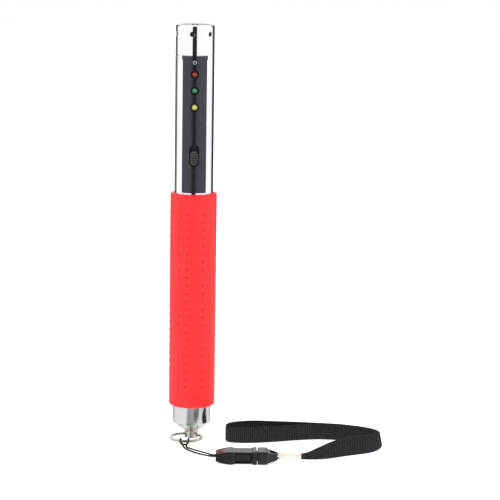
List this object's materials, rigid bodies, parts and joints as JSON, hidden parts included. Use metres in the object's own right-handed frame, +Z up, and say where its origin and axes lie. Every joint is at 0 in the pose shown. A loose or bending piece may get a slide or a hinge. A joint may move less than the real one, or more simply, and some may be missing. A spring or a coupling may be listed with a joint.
{
  "type": "traffic baton light",
  "caption": "Handheld traffic baton light: polished tube with status lamps and a slide switch, dotted red grip sleeve, screw-on end cap, split ring and quick-release wrist lanyard.",
  "frame": {"origin": "centre of the swivel post's flat end face, on which the baton stands upright", "axes": "+Z up the baton's axis towards the head; the window panel with the lamps faces -Y; the lanyard lies towards +X"},
  "size_m": [0.1668, 0.0989, 0.3245],
  "materials": {
    "chrome": "mirror polished",
    "cap_aluminium": "turned and polished",
    "nickel_steel": "nickel plated, slightly worn",
    "spring_steel": "drawn wire",
    "red_silicone": "soft matte silicone with raised dots",
    "black_satin": "satin moulded",
    "black_buckle": "moulded acetal, fine grain",
    "black_inner": "moulded",
    "knob_grey": "ribbed",
    "webbing": "ribbed polyester webbing",
    "cord": "braided polyester",
    "ferrule_white": "milky translucent",
    "lens_clear": "polished",
    "reflector_silver": "vacuum metallised",
    "board_green": "solder mask",
    "seal_black": "moulded",
    "led_white": "phosphor",
    "lamp_red": "tinted epoxy",
    "lamp_green": "tinted epoxy",
    "lamp_yellow": "tinted epoxy",
    "cell_jacket": "shrink sleeve",
    "liner_card": "insulating card",
    "brass": "bright",
    "screw_steel": "zinc plated"
  },
  "bodies": {
    "end_cap": {"end_cap": "cap_aluminium", "spring_plate": "brass", "cap_spring": "spring_steel"},
    "seal": {"cap_gasket": "seal_black"},
    "barrel": {"main_tube": "chrome", "grip_sleeve": "red_silicone", "window_panel": "black_satin", "panel_screw": "screw_steel", "head_cap": "chrome", "lens": "lens_clear", "lens_gasket": "seal_black", "reflector": "reflector_silver", "led_board": "board_green", "torch_led": "led_white", "port_screen": "black_inner", "sounder": "black_inner", "board_carrier": "black_inner", "control_board": "board_green", "board_screws": "screw_steel", "lamp_guide": "black_inner", "status_lamp_red": "lamp_red", "status_lamp_green": "lamp_green", "status_lamp_yellow": "lamp_yellow", "switch_body": "screw_steel", "battery_cell_1": "cell_jacket", "battery_cell_2": "cell_jacket", "battery_cell_3": "cell_jacket", "battery_liner": "liner_card", "battery_bulkhead": "black_inner", "positive_contact": "brass", "contact_strip": "brass"},
    "switch": {"switch_knob": "knob_grey"},
    "swivel": {"swivel_post": "nickel_steel", "swivel_clip": "spring_steel"},
    "ring": {"split_ring": "nickel_steel", "lanyard_cord": "cord", "buckle_socket": "black_buckle"},
    "strap": {"buckle_plug": "black_buckle", "strap_ferrule": "ferrule_white", "wrist_strap": "webbing"}
  },
  "joints": [
    {"name": "cap_lift", "type": "slide", "parent": "end_cap", "child": "seal", "axis": [0, 0, 1], "range_m": [0, 0.0075]},
    {"name": "cap_screw", "type": "hinge", "parent": "seal", "child": "barrel", "pos_m": [0, 0, 0.027], "axis": [0, 0, 1], "range_deg": [0, 1800]},
    {"name": "switch_slide", "type": "slide", "parent": "barrel", "child": "switch", "axis": [0, 0, 1], "range_m": [0, 0.005]},
    {"name": "lanyard_swivel", "type": "hinge", "parent": "end_cap", "child": "swivel", "pos_m": [0, 0, 0.008], "axis": [0, 0, 1], "continuous": true},
    {"name": "ring_tilt", "type": "hinge", "parent": "swivel", "child": "ring", "pos_m": [0, 0.0013, 0.0022], "axis": [-1, 0, 0], "range_deg": [0, 7]},
    {"name": "buckle_release", "type": "slide", "parent": "ring", "child": "strap", "axis": [1, 0, 0], "range_m": [0, 0.025]}
  ],
  "couplings": [
    {"joint": "cap_lift", "follows": "cap_screw", "m_per_rad": 0.00023873}
  ]
}
